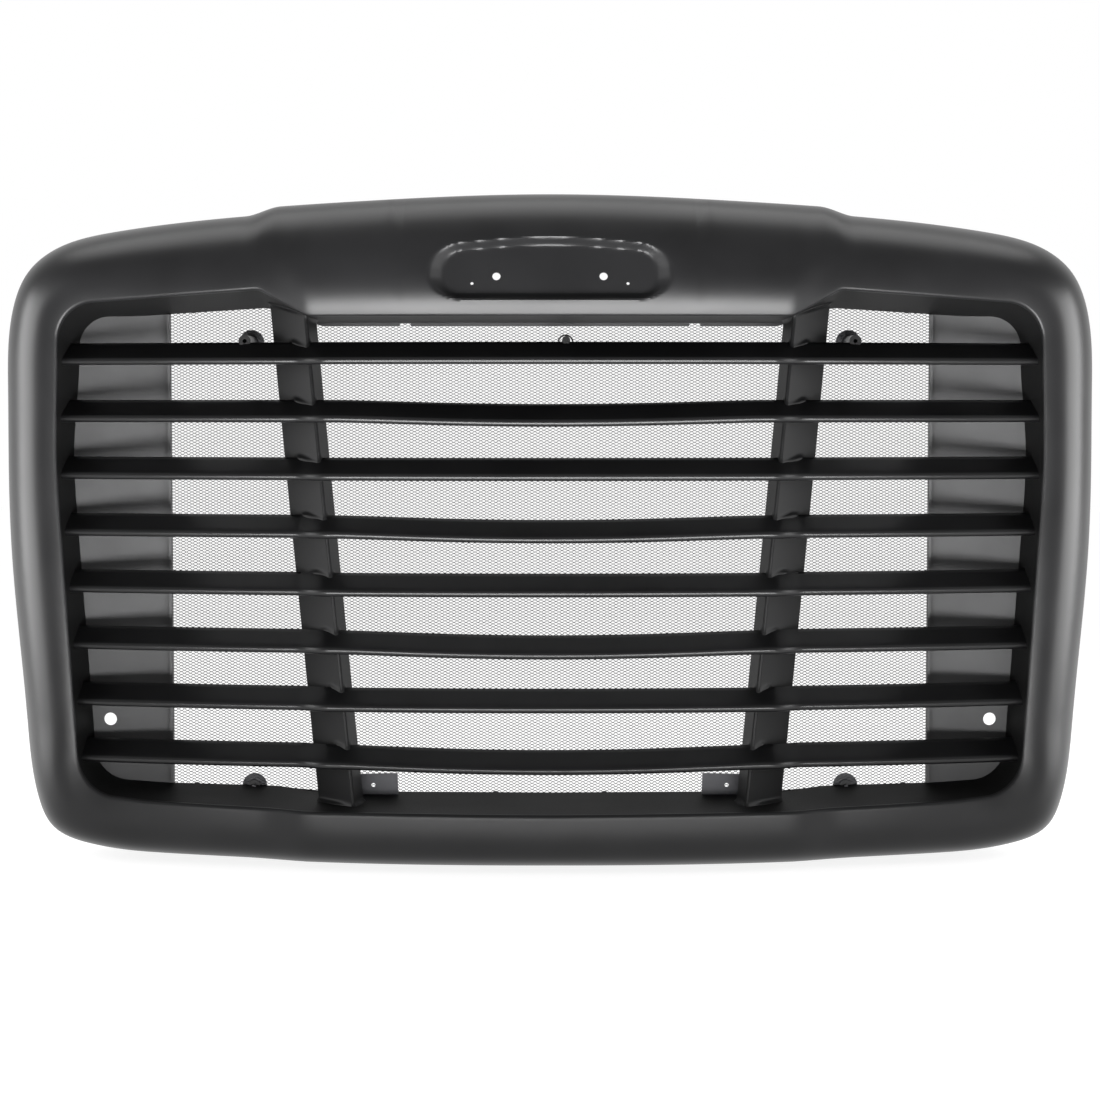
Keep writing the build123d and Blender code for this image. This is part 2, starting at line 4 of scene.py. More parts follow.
import bpy
import numpy as np
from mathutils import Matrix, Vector


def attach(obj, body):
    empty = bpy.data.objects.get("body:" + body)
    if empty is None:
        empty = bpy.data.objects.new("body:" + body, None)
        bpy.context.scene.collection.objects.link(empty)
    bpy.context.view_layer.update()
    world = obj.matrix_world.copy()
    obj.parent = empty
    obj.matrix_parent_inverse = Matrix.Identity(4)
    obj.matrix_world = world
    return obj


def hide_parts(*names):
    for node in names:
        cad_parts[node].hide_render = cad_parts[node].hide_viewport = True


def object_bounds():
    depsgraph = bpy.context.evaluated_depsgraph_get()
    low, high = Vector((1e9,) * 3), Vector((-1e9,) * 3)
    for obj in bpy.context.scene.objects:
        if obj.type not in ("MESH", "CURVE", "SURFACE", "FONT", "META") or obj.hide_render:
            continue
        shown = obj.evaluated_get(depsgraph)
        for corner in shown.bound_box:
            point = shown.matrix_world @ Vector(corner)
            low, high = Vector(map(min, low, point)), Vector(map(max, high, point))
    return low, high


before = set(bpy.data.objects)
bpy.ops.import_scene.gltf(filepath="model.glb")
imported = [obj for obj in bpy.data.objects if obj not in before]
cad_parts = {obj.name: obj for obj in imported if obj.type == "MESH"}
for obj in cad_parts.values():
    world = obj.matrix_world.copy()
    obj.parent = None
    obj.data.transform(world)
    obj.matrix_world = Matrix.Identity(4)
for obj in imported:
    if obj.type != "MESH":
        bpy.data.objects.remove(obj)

cad_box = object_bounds()
MM = 0.001

# ---------------------------------------------------------------- sizes, in mm, as in the CAD model
HALF_W, HALF_H = 600.0, 359.0
BROW, BROW_RAISE, SIDE_BAND, LOWER_RAIL, NOTCH_RISE = 133.0, 7.0, 70.0, 62.5, 28.0
SKIN_DEPTH, SIDE_WALL_DEPTH, WALL = 105.0, 59.0, 3.0
FLANGE_REACH, LIP_R, CHIN_DEPTH, CHIN_HEIGHT = 32.0, 4.0, 9.0, 45.0
BOW_R, BOW_STEP, STEP_IN, STEP_OUT = 2000.0, 11.0, 235.0, 270.0
OPEN_HALF = HALF_W - SIDE_BAND
OPEN_TOP = HALF_H - BROW
OPEN_BOTTOM = LOWER_RAIL - HALF_H
NOTCH_IN, NOTCH_OUT, RAISE_IN, RAISE_OUT = 254.0, 306.0, 290.0, 330.0
BARS, BAR_SETBACK, BAR_DEPTH, BAR_RISE = 8, 15.0, 26.0, 19.5
NOSE_R, BAR_REAR, FIRST_DROP, LAST_LIFT = 4.4, 3.0, 45.5, 48.4
DROOP, DROOP_HALF = 4.3, 225.0
PILLAR_X, PILLAR_LEAN, PILLAR_OUT, PILLAR_IN = 236.6, 0.0953, 41.0, 7.0
PILLAR_DEPTH, PILLAR_SETBACK, NOSE_ROUND, COVE = 39.0, 17.0, 2.6, 5.5
PANEL_WALL, SCREEN_WALL = 2.5, 1.2
POCKET_L, POCKET_H, POCKET_SAG, POCKET_Z, POCKET_Y = 222.0, 54.4, 9.2, 275.7, -118.5
END_SLOPE, EDGE_SLOPE, POCKET_TILT = 1.33, 0.7, radians(10.0)
SCREEN_MARGIN, PIN_X, PIN_Z, GROMMET_HOLE = 12.0, 17.0, 201.5, 7.0


# ---------------------------------------------------------------- small helpers
def ease(value, start, end):
    """0 before start, 1 after end, smooth between them; works on arrays."""
    share = np.clip((value - start) / (end - start), 0.0, 1.0)
    return share * share * (3.0 - 2.0 * share)


def bow(x, step_start=STEP_IN, step_end=STEP_OUT):
    """How far back the bowed front has gone at a distance x from the middle."""
    return x * x / (2.0 * BOW_R) + BOW_STEP * ease(np.abs(x), step_start, step_end)


LIP_REACH = SIDE_WALL_DEPTH + float(bow(OPEN_HALF))


def nose_y(x):
    """Front of a bar's nose."""
    return bow(x) - LIP_REACH + BAR_SETBACK


def smooth_max(a, b, k):
    """The larger of two depths, with a rounded change-over about k wide."""
    h = np.clip(0.5 + 0.5 * (a - b) / k, 0.0, 1.0)
    return b * (1.0 - h) + a * h + k * h * (1.0 - h)


def grid_faces(rows, cols, wrap_rows=False, wrap_cols=False):
    """Quads of a rows x cols grid of vertices."""
    r = np.arange(rows if wrap_rows else rows - 1)
    c = np.arange(cols if wrap_cols else cols - 1)
    r0, c0 = np.meshgrid(r, c, indexing="ij")
    r1, c1 = (r0 + 1) % rows, (c0 + 1) % cols
    quads = np.stack([r0 * cols + c0, r1 * cols + c0, r1 * cols + c1, r0 * cols + c1], -1)
    return quads.reshape(-1, 4)


def mesh_piece(name, verts, faces, material, sharp=30.0, body="root"):
    """A mesh object from vertices in mm, riding on a body; faces is an array or a list."""
    mesh = bpy.data.meshes.new(name)
    mesh.from_pydata((np.asarray(verts) * MM).tolist(), [], [tuple(f) for f in faces])
    mesh.validate()
    mesh.shade_smooth()
    if sharp is not None:
        mesh.set_sharp_from_angle(angle=radians(sharp))
    mesh.materials.append(material)
    obj = bpy.data.objects.new(name, mesh)
    bpy.context.scene.collection.objects.link(obj)
    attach(obj, body)
    return obj


# ---------------------------------------------------------------- materials
def plastic(name, base, rough, grain=900.0, bump=0.06, vary=0.25, gleam=0.3):
    """Moulded plastic: fine orange-peel grain, slow tone changes and gloss that varies with them."""
    mat = bpy.data.materials.new(name)
    mat.use_nodes = True
    nodes, links = mat.node_tree.nodes, mat.node_tree.links
    shader = nodes["Principled BSDF"]
    where = nodes.new("ShaderNodeTexCoord")
    cloud = nodes.new("ShaderNodeTexNoise")
    cloud.inputs["Scale"].default_value = 9.0
    cloud.inputs["Detail"].default_value = 5.0
    tone = nodes.new("ShaderNodeValToRGB")
    tone.color_ramp.elements[0].position = 0.3
    tone.color_ramp.elements[1].position = 0.7
    low, high = [c * (1.0 - vary) for c in base], [c * (1.0 + vary) for c in base]
    tone.color_ramp.elements[0].color = (*low, 1.0)
    tone.color_ramp.elements[1].color = (*high, 1.0)
    fine = nodes.new("ShaderNodeTexNoise")
    fine.inputs["Scale"].default_value = grain
    fine.inputs["Detail"].default_value = 3.0
    gloss = nodes.new("ShaderNodeMapRange")
    gloss.inputs["To Min"].default_value = rough - 0.05
    gloss.inputs["To Max"].default_value = rough + 0.07
    peel = nodes.new("ShaderNodeBump")
    peel.inputs["Strength"].default_value = bump
    peel.inputs["Distance"].default_value = 0.0006
    links.new(where.outputs["Object"], cloud.inputs["Vector"])
    links.new(where.outputs["Object"], fine.inputs["Vector"])
    links.new(cloud.outputs["Fac"], tone.inputs["Fac"])
    links.new(tone.outputs["Color"], shader.inputs["Base Color"])
    links.new(cloud.outputs["Fac"], gloss.inputs["Value"])
    links.new(gloss.outputs["Result"], shader.inputs["Roughness"])
    links.new(fine.outputs["Fac"], peel.inputs["Height"])
    links.new(peel.outputs["Normal"], shader.inputs["Normal"])
    shader.inputs["Specular IOR Level"].default_value = gleam
    return mat


def metal(name, base, rough, metallic, grain=600.0, bump=0.08):
    """Coated or plated metal with fine mottling and slight wear of its gloss."""
    mat = plastic(name, base, rough, grain=grain, bump=bump, vary=0.2)
    mat.node_tree.nodes["Principled BSDF"].inputs["Metallic"].default_value = metallic
    return mat


surround_mat = plastic("surround_satin_black", (0.008, 0.008, 0.0085), 0.34, grain=1100.0, bump=0.05)
# Return wall: a darker, duller and rougher copy of the shell's satin black. Its darkness is painted shade in
# the recess behind the lip.
return_wall_painted_shade_mat = plastic("return_wall_painted_shade", (0.004, 0.004, 0.0041), 0.6, grain=1400.0, bump=0.15, gleam=0.12)
louvre_mat = plastic("louvre_satin_black", (0.004, 0.004, 0.0043), 0.3, grain=1100.0, bump=0.05, gleam=0.38)
# Pillars: a darker, duller and rougher copy of the louvre's satin black. The extra darkness is painted shade
# that holds the pillars down under the low front light.
pillar_painted_shade_mat = plastic("pillar_satin_black_painted_shade", (0.003, 0.003, 0.0032), 0.45, grain=1100.0, bump=0.05, gleam=0.15)
panel_mat = plastic("panel_grained_grey", (0.052, 0.052, 0.053), 0.55, grain=1600.0, bump=0.25)
rail_mat = metal("rail_coated_steel", (0.02, 0.02, 0.021), 0.5, 0.0)
bracket_mat = metal("bracket_coated_steel", (0.05, 0.05, 0.055), 0.42, 0.3)
fastener_mat = metal("fastener_black_oxide", (0.035, 0.035, 0.037), 0.38, 0.6)
stud_mat = metal("stud_zinc", (0.55, 0.55, 0.52), 0.33, 1.0, grain=1500.0)
rubber_mat = plastic("grommet_rubber", (0.018, 0.018, 0.018), 0.7, grain=2000.0, bump=0.3)
screen_mat = metal("screen_coated_metal", (0.042, 0.042, 0.046), 0.5, 0.2)

NODE_MATERIALS = {
    "surround": surround_mat,
    "side_panel_left": panel_mat,
    "side_panel_right": panel_mat,
    "pillar_left": pillar_painted_shade_mat,
    "pillar_right": pillar_painted_shade_mat,
    "screen_rail_top": rail_mat,
    "screen_rail_bottom": rail_mat,
    "lower_bracket_left": bracket_mat,
    "lower_bracket_right": bracket_mat,
    "bracket_rivets": fastener_mat,
    "panel_screws": fastener_mat,
    "screen_screws": fastener_mat,
    "washer_screws": fastener_mat,
    "screen_washers": fastener_mat,
    "screen_bosses": louvre_mat,
    "locating_pin": louvre_mat,
    "pin_grommet": rubber_mat,
    "hood_studs": stud_mat,
}
for index in range(BARS):
    NODE_MATERIALS[f"louvre_bar_{index + 1}"] = louvre_mat
for node, material in NODE_MATERIALS.items():
    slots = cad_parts[node].material_slots
    for entry in slots:
        entry.material = material


# ---------------------------------------------------------------- outlines and sections of the surround
def spline_points(points, per_span):
    """Points of the natural cubic through the given points, by chord length."""
    points = np.asarray(points, float)
    t = np.concatenate([[0.0], np.cumsum(np.hypot(*np.diff(points, axis=0).T))])
    h = np.diff(t)
    count = len(points)
    matrix = np.zeros((count, count))
    right = np.zeros((count, 2))
    matrix[0, 0] = matrix[-1, -1] = 1.0
    slope = np.diff(points, axis=0) / h[:, None]
    for i in range(1, count - 1):
        matrix[i, i - 1:i + 2] = h[i - 1], 2.0 * (h[i - 1] + h[i]), h[i]
        right[i] = 6.0 * (slope[i] - slope[i - 1])
    second = np.linalg.solve(matrix, right)
    out = []
    for i in range(count - 1):
        s = np.linspace(0.0, h[i], per_span, endpoint=False)[:, None]
        b = slope[i] - h[i] * (2.0 * second[i] + second[i + 1]) / 6.0
        bend = (second[i + 1] - second[i]) * s**3 / (6.0 * h[i])
        out.append(points[i] + b * s + second[i] * s**2 / 2.0 + bend)
    out.append(points[-1:])
    return np.concatenate(out)


def fillet_points(points, radii, closed=False):
    """Points of a polyline whose corners are rounded."""
    points = [np.array(p, float) for p in points]
    count = len(points)
    out = [] if closed else [points[0]]
    for i in range(0 if closed else 1, count if closed else count - 1):
        corner = points[i]
        back = points[i - 1] - corner
        ahead = points[(i + 1) % count] - corner
        back, ahead = back / np.hypot(*back), ahead / np.hypot(*ahead)
        half_angle = acos(float(np.clip(back @ ahead, -1.0, 1.0))) / 2.0
        radius = radii[i] if closed else radii[i - 1]
        along = radius / tan(half_angle)
        bisector = (back + ahead) / np.hypot(*(back + ahead))
        centre = corner + bisector * radius / sin(half_angle)
        first = corner + back * along - centre
        turn = pi - 2.0 * half_angle
        sign = 1.0 if first[0] * (ahead - back)[1] - first[1] * (ahead - back)[0] > 0 else -1.0
        for angle in np.linspace(0.0, turn * sign, max(6, int(turn * 60.0))):
            c, s = cos(angle), sin(angle)
            out.append(centre + np.array([c * first[0] - s * first[1], s * first[0] + c * first[1]]))
    out.append(out[0] if closed else points[-1])
    return np.array(out)


CROWN = HALF_H - BROW_RAISE
OUTER = spline_points(
    [
        (-0.333 * HALF_W, 0.982 * CROWN), (0.0, CROWN), (0.333 * HALF_W, 0.982 * CROWN),
        (0.633 * HALF_W, 0.949 * CROWN), (0.8 * HALF_W, 0.916 * CROWN), (0.9 * HALF_W, 0.872 * CROWN),
        (0.958 * HALF_W, 0.798 * CROWN), (0.988 * HALF_W, 0.685 * CROWN), (1.0 * HALF_W, 0.42 * CROWN),
        (0.9975 * HALF_W, -0.056 * HALF_H), (0.973 * HALF_W, -0.53 * HALF_H),
        (0.943 * HALF_W, -0.836 * HALF_H), (0.917 * HALF_W, -0.916 * HALF_H),
        (0.842 * HALF_W, -0.968 * HALF_H), (0.667 * HALF_W, -0.99 * HALF_H),
        (0.333 * HALF_W, -0.999 * HALF_H), (0.0, -HALF_H), (-0.333 * HALF_W, -0.999 * HALF_H),
    ],
    60,
)
LIP = fillet_points(
    [
        (-60.0, OPEN_TOP), (NOTCH_IN, OPEN_TOP), (NOTCH_OUT, OPEN_TOP + NOTCH_RISE),
        (OPEN_HALF - 4.0, OPEN_TOP + NOTCH_RISE / 2), (OPEN_HALF, 70.0),
        (OPEN_HALF - 24.0, OPEN_BOTTOM + 13.5), (OPEN_HALF - 100.0, OPEN_BOTTOM + 6.5),
        (OPEN_HALF / 2, OPEN_BOTTOM + 1.5), (0.0, OPEN_BOTTOM), (-60.0, OPEN_BOTTOM),
    ],
    (25.0, 15.0, 42.0, 900.0, 45.0, 300.0, 600.0, 2000.0),
)


def reach(line, start, direction):
    """Distance from start, along direction, to the farthest crossing with a line of points."""
    edge = np.diff(line, axis=0)
    rel = line[:-1] - start
    cross = direction[0] * edge[:, 1] - direction[1] * edge[:, 0]
    cross = np.where(np.abs(cross) < 1e-12, 1e-12, cross)
    along = (rel[:, 0] * edge[:, 1] - rel[:, 1] * edge[:, 0]) / cross
    share = (rel[:, 0] * direction[1] - rel[:, 1] * direction[0]) / cross
    return float(along[(share >= -1e-6) & (share <= 1.0 + 1e-6)].max())


FAN_X, FAN_TOP, FAN_BOTTOM = HALF_W - 170.0, HALF_H - 213.0, 155.0 - HALF_H


def station_list(fine):
    """Start points and angles of the section rays of the right half, top middle to bottom middle."""
    top_x = np.concatenate([
        np.arange(0.0, 154.0, 1.6 * fine),
        np.arange(154.0, 230.0, 5.0 * fine),
        np.arange(230.0, 334.0, 2.2 * fine),
        np.arange(334.0, FAN_X, 7.0 * fine),
    ])
    rays = [((x, 0.0), 90.0) for x in top_x]
    rays += [((FAN_X, FAN_TOP), a) for a in np.linspace(90.0, 0.0, int(60 / fine))]
    rays += [((FAN_X, z), 0.0) for z in np.linspace(FAN_TOP, FAN_BOTTOM, int(34 / fine))[1:]]
    rays += [((FAN_X, FAN_BOTTOM), a) for a in np.linspace(0.0, -90.0, int(52 / fine))[1:]]
    rays += [((x, 0.0), -90.0) for x in np.linspace(FAN_X, 0.0, int(34 / fine))[1:]]
    return rays


def section_sizes(start, angle):
    """Lip, rear edge, their depths, draft, fullness and chin of the section on a ray."""
    direction = (cos(radians(angle)), sin(radians(angle)))
    lip_u = reach(LIP, start, direction)
    rim_u = reach(OUTER, start, direction)
    lip_x = start[0] + lip_u * direction[0]
    lip_z = start[1] + lip_u * direction[1]
    rim_x = start[0] + rim_u * direction[0]
    upward, downward = max(direction[1], 0.0), max(-direction[1], 0.0)
    rim_u += BROW_RAISE * upward * (1.0 - ease(rim_x, RAISE_IN, RAISE_OUT))
    at_side = ease(lip_x, NOTCH_IN, NOTCH_OUT)
    chin = CHIN_DEPTH * upward * (1.0 - at_side)
    draft = 3.0 + at_side * (5.0 + 7.0 * ease(lip_z, 60.0, 220.0))
    fullness = 2.2 + 1.8 * downward * downward
    lip_y = bow(lip_x, NOTCH_IN, NOTCH_OUT) - LIP_REACH
    rim_y = bow(rim_x, RAISE_IN, RAISE_OUT) - LIP_REACH + SKIN_DEPTH
    return lip_u, rim_u, lip_y, rim_y, draft, fullness, chin


SKIN_ROWS, INNER_ROWS = 58, 26


def skin_shares(rows, lip_u, rim_u, x, vertical):
    """Shares of the way from lip to rim; packed closer where the emblem pocket is."""
    even = np.sin(np.linspace(0.0, pi / 2, rows)) ** 0.85
    if not vertical or x > 172.0:
        return even
    span = rim_u - lip_u
    low = (POCKET_Z - POCKET_H / 2 - 14.0 - lip_u) / span
    high = (POCKET_Z + POCKET_H / 2 + 14.0 - lip_u) / span
    before, within = int(rows * 0.08), int(rows * 0.74)
    beyond = rows - before - within
    packed = np.concatenate([
        np.linspace(0.0, low, before, endpoint=False),
        np.linspace(low, high, within, endpoint=False),
        high + (1.0 - high) * np.sin(np.linspace(0.0, pi / 2, beyond)),
    ])
    weight = float(1.0 - ease(x, 150.0, 172.0))
    return even * (1.0 - weight) + packed * weight


def skin_depth_at(share, u, start_u, front_y, end_y, fullness, chin):
    """Depth of the skin at a share of its width: the chin runs into a superellipse quarter."""
    back = 1.0 - np.maximum(1.0 - share**fullness, 0.0) ** (1.0 / fullness)
    tuck = chin * np.maximum(1.0 - (u - start_u) / CHIN_HEIGHT, 0.0) ** 2
    return front_y + (end_y - front_y) * back + tuck


POCKET_SHAPE = fillet_points(
    [
        (-POCKET_L / 2, -POCKET_H / 2), (POCKET_L / 2, -POCKET_H / 2),
        (POCKET_L / 2, POCKET_H / 2 - POCKET_SAG), (0.0, POCKET_H / 2),
        (-POCKET_L / 2, POCKET_H / 2 - POCKET_SAG),
    ],
    (18.0, 18.0, 22.0, 600.0, 22.0),
    closed=True,
)


def outline_distance(px, pz, line):
    """Signed distance of points to a closed line, negative inside."""
    a, b = line[:-1], line[1:]
    edge = b - a
    point = np.stack([px, pz], -1)[:, None, :]
    share = np.clip(((point - a) * edge).sum(-1) / np.maximum((edge * edge).sum(-1), 1e-12), 0.0, 1.0)
    gap = point - (a + share[..., None] * edge)
    distance = np.sqrt((gap * gap).sum(-1)).min(1)
    above = (a[:, 1] > point[..., 1]) != (b[:, 1] > point[..., 1])
    run = np.where(edge[:, 1] == 0.0, 1e-9, edge[:, 1])
    cross_x = a[:, 0] + (point[..., 1] - a[:, 1]) * edge[:, 0] / run
    inside = (above & (point[..., 0] < cross_x)).sum(1) % 2 == 1
    return np.where(inside, -distance, distance)


def pocket_depth_at(x, z, skin_y, back):
    """Skin depth with the emblem pocket pressed in; back is the wall's thickness behind it."""
    squeeze = EDGE_SLOPE / END_SLOPE
    scaled = POCKET_SHAPE * np.array([squeeze, 1.0])
    floor_y = POCKET_Y + (z - POCKET_Z) * tan(POCKET_TILT) + back / cos(POCKET_TILT)
    y = floor_y.copy()
    for _ in range(3):
        plane_z = (z - POCKET_Z) * cos(POCKET_TILT) + (y - POCKET_Y - back) * sin(POCKET_TILT)
        away = outline_distance(x * squeeze, plane_z, scaled) - back * 0.25
        height = (away + np.sqrt(away * away + 0.5)) / 2.0 / EDGE_SLOPE
        y = floor_y - height / cos(POCKET_TILT)
    return smooth_max(skin_y, y, 2.4)


def surround_section(start, angle):
    """Closed section of the shell as arrays of u and y."""
    lip_u, rim_u, lip_y, rim_y, draft, fullness, chin = section_sizes(start, angle)
    tilt = atan(2.0 * chin / CHIN_HEIGHT)
    wall_end = lip_y + chin + LIP_R * cos(tilt)
    rear = lip_u - draft
    wall_share = np.array([0.0, 0.25, 0.5, 0.75, 0.92, 0.985])
    wall_u = rear + draft * wall_share
    wall_y = wall_end * wall_share
    turn = np.linspace(0.0, pi / 2 - tilt, 9)
    lip_arc_u = lip_u + LIP_R * (1.0 - np.cos(turn))
    lip_arc_y = wall_end - LIP_R * np.sin(turn)
    face_u = lip_arc_u[-1]
    inner_u = face_u + WALL / 3
    vertical = angle == 90.0 and start[1] == 0.0
    share = skin_shares(SKIN_ROWS, face_u, rim_u, start[0], vertical)
    skin_u = face_u + (rim_u - face_u) * share
    skin_y = skin_depth_at(share, skin_u, face_u, lip_y, rim_y, fullness, chin)
    back_share = skin_shares(INNER_ROWS, inner_u, rim_u, start[0], vertical)
    back_u = inner_u + (rim_u - WALL - inner_u) * back_share
    back_y = skin_depth_at(back_share, back_u, inner_u, lip_y + WALL, rim_y, fullness, chin)
    if vertical and start[0] < 172.0:
        x = np.full(skin_u.shape, start[0])
        skin_y = pocket_depth_at(x, skin_u, skin_y, 0.0)
        x = np.full(back_u.shape, start[0])
        back_y = pocket_depth_at(x, back_u, back_y, WALL)
    edge_u = np.array([rim_u, rim_u - 0.3, rim_u - 1.0, rim_u - WALL + 0.8])
    edge_y = np.array([rim_y - 1.0, rim_y - 0.3, rim_y, rim_y])
    flange_u = np.array([rear + WALL, rear + FLANGE_REACH, rear + FLANGE_REACH])
    flange_y = np.array([-WALL, -WALL, 0.0])
    u = np.concatenate([wall_u, lip_arc_u, skin_u[1:-1], edge_u, back_u[::-1], flange_u])
    y = np.concatenate([wall_y, lip_arc_y, skin_y[1:-1], edge_y, back_y[::-1], flange_y])
    return u, y


RAYS = station_list(1.0)
half_ring = []
for ray_start, ray_angle in RAYS:
    ring_u, ring_y = surround_section(ray_start, ray_angle)
    ring_x = ray_start[0] + ring_u * cos(radians(ray_angle))
    ring_z = ray_start[1] + ring_u * sin(radians(ray_angle))
    half_ring.append(np.stack([ring_x, ring_y, ring_z], -1))
half_ring = np.array(half_ring)
half_ring[0, :, 0] = half_ring[-1, :, 0] = 0.0
left_ring = half_ring[-2:0:-1] * np.array([-1.0, 1.0, 1.0])
ring = np.concatenate([half_ring, left_ring])
ring_rows, ring_cols = ring.shape[:2]
surround_faces = grid_faces(ring_rows, ring_cols, wrap_rows=True, wrap_cols=True)
ring_points = ring.reshape(-1, 3)
surround = mesh_piece(
    "surround_shell", ring_points, surround_faces, surround_mat, sharp=None
)
# The return wall's faces take the darker copy, which paints shade into the recess.
surround.data.materials.append(return_wall_painted_shade_mat)
face_col = np.tile(np.arange(ring_cols), ring_rows)
recess = (face_col < 6) | (face_col == ring_cols - 1)
surround.data.polygons.foreach_set("material_index", recess.astype(np.int32))
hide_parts("surround")


def cylinder_mesh(name, places, radius, length, segments=48):
    """Cylinders as one mesh; places are (point, axis) in mm."""
    verts, faces = [], []
    for point, axis in places:
        axis = Vector(axis).normalized()
        side = axis.orthogonal().normalized()
        other = axis.cross(side)
        base = len(verts)
        for end in (-0.5, 0.5):
            for k in range(segments):
                a = 2.0 * pi * k / segments
                spot = Vector(point) + axis * end * length + (side * cos(a) + other * sin(a)) * radius
                verts.append(tuple(spot * MM))
        faces.append(tuple(base + k for k in range(segments))[::-1])
        faces.append(tuple(base + segments + k for k in range(segments)))
        for k in range(segments):
            n = (k + 1) % segments
            faces.append((base + k, base + n, base + segments + n, base + segments + k))
    mesh = bpy.data.meshes.new(name)
    mesh.from_pydata(verts, [], faces)
    return mesh


def cut(obj, mesh):
    """Subtract a mesh from an object for good."""
    tool = bpy.data.objects.new("cutter", mesh)
    bpy.context.scene.collection.objects.link(tool)
    modifier = obj.modifiers.new("cut", "BOOLEAN")
    modifier.operation = "DIFFERENCE"
    modifier.solver = "EXACT"
    modifier.object = tool
    seen = obj.evaluated_get(bpy.context.evaluated_depsgraph_get())
    result = bpy.data.meshes.new_from_object(seen)
    obj.modifiers.clear()
    bpy.data.objects.remove(tool)
    obj.data = result


def on_pocket(x, lift):
    """A point of the pocket's floor plane, and the plane's normal."""
    point = (x, POCKET_Y + lift * sin(POCKET_TILT), POCKET_Z + lift * cos(POCKET_TILT))
    return point, (0.0, -cos(POCKET_TILT), sin(POCKET_TILT))


for places, radius in (
    ([on_pocket(-56.0, -8.0), on_pocket(56.0, -8.0)], 4.3),
    ([on_pocket(-81.5, -15.6), on_pocket(81.5, -15.6)], 1.7),
):
    cut(surround, cylinder_mesh("holes", places, radius, 14.0))
surround.data.set_sharp_from_angle(angle=radians(28.0))


# ---------------------------------------------------------------- louvre bars
SIDE_RAYS = [ray for ray in station_list(3.0) if ray[0][0] > 150.0]
SIDE_SIZES = [section_sizes(*ray) for ray in SIDE_RAYS]


def wall_line(depth_share):
    """X and Z of the return wall at a share of its depth from the rear (0) to the lip (1)."""
    points = []
    for (start, angle), (lip_u, _, _, _, draft, _, _) in zip(SIDE_RAYS, SIDE_SIZES):
        u = lip_u - draft * (1.0 - depth_share)
        points.append((start[0] + u * cos(radians(angle)), start[1] + u * sin(radians(angle))))
    return np.array(points)


WALL_SHARES = np.linspace(0.0, 1.0, 9)
WALL_LINES = [wall_line(share) for share in WALL_SHARES]


def wall_x(y, z):
    """Where the side of the return wall is at a depth and a height."""
    share = float(np.clip(y / -(SIDE_WALL_DEPTH - LIP_R), 0.0, 1.0))
    reaches = [reach(line, (0.0, z), (1.0, 0.0)) for line in WALL_LINES]
    return float(np.interp(share, WALL_SHARES, reaches))


def droop(x):
    """How far the middle of every second bar hangs below its ends."""
    share = np.minimum(np.abs(x) / DROOP_HALF, 1.0)
    return DROOP * (1.0 - share * share) ** 1.4


def blade_outline():
    """Section of a bar as depth and height, closed, counted from the nose's front."""
    slope = atan2(BAR_RISE - NOSE_R, BAR_DEPTH - NOSE_R)
    nose = [
        (NOSE_R * (1.0 - cos(a)), NOSE_R * sin(a))
        for a in np.linspace(-pi / 2 - slope * 0.96, pi / 2 - slope * 0.96, 17)
    ]
    top = (BAR_DEPTH, BAR_RISE)
    under = (BAR_DEPTH, BAR_RISE - BAR_REAR)
    rear = [
        (top[0] + BAR_REAR / 2 * sin(a), (top[1] + under[1]) / 2 + BAR_REAR / 2 * cos(a))
        for a in np.linspace(0.0, pi, 7)
    ]
    outline = list(nose)
    for k in (1, 2, 3, 4):
        outline.append(tuple(np.array(nose[-1]) * (1 - k / 5) + np.array(rear[0]) * k / 5))
    outline += rear
    for k in (1, 2, 3, 4):
        outline.append(tuple(np.array(rear[-1]) * (1 - k / 5) + np.array(nose[0]) * k / 5))
    return np.array(outline)


BLADE = blade_outline()
BAR_TOP = OPEN_TOP - FIRST_DROP
BAR_PITCH = (BAR_TOP - OPEN_BOTTOM - LAST_LIFT) / (BARS - 1)
half_x = np.concatenate([
    np.arange(0.0, 225.0, 9.0), np.arange(225.0, 280.0, 2.5), np.arange(280.0, 480.0, 12.0), [480.0],
])
end_steps = np.array([0.3, 0.6, 0.85, 1.0])
for index in range(BARS):
    base_z = BAR_TOP - index * BAR_PITCH
    end_x = np.array([wall_x(float(nose_y(525.0)) + p[0], base_z + p[1]) for p in BLADE]) + 1.2
    right = [np.full(len(BLADE), x) for x in half_x]
    right += [480.0 + (end_x - 480.0) * step for step in end_steps]
    x = np.array([-row for row in right[:0:-1]] + right)
    y = nose_y(x) + BLADE[None, :, 0]
    z = base_z - (index % 2) * droop(x) + BLADE[None, :, 1]
    rows, cols = x.shape
    faces = [tuple(face) for face in grid_faces(rows, cols, wrap_cols=True)]
    faces.append(tuple(range(cols))[::-1])
    faces.append(tuple((rows - 1) * cols + k for k in range(cols)))
    verts = np.stack([x, y, z], -1).reshape(-1, 3)
    bar = mesh_piece(f"louvre_{index + 1}", verts, faces, louvre_mat, sharp=50.0)
    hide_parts(f"louvre_bar_{index + 1}")


# ---------------------------------------------------------------- pillars
def pillar_section():
    """Pillar's section as offsets across and back from its nose line, closed, with a round nose."""
    outer, inner = np.array([PILLAR_OUT, PILLAR_DEPTH]), np.array([-PILLAR_IN, PILLAR_DEPTH])
    corner = np.array([0.0, 0.0])
    line = fillet_points([outer, corner, inner], (NOSE_ROUND,))
    rear = [inner * (1 - k / 6) + outer * k / 6 for k in range(1, 6)]
    path = np.concatenate([line, rear])
    lengths = np.hypot(*np.diff(np.concatenate([path, path[:1]]), axis=0).T)
    out = []
    for k, length in enumerate(lengths):
        nxt = path[(k + 1) % len(path)]
        pieces = max(1, int(length / 3.0))
        for j in range(pieces):
            out.append(path[k] * (1 - j / pieces) + nxt * j / pieces)
    return np.array(out)


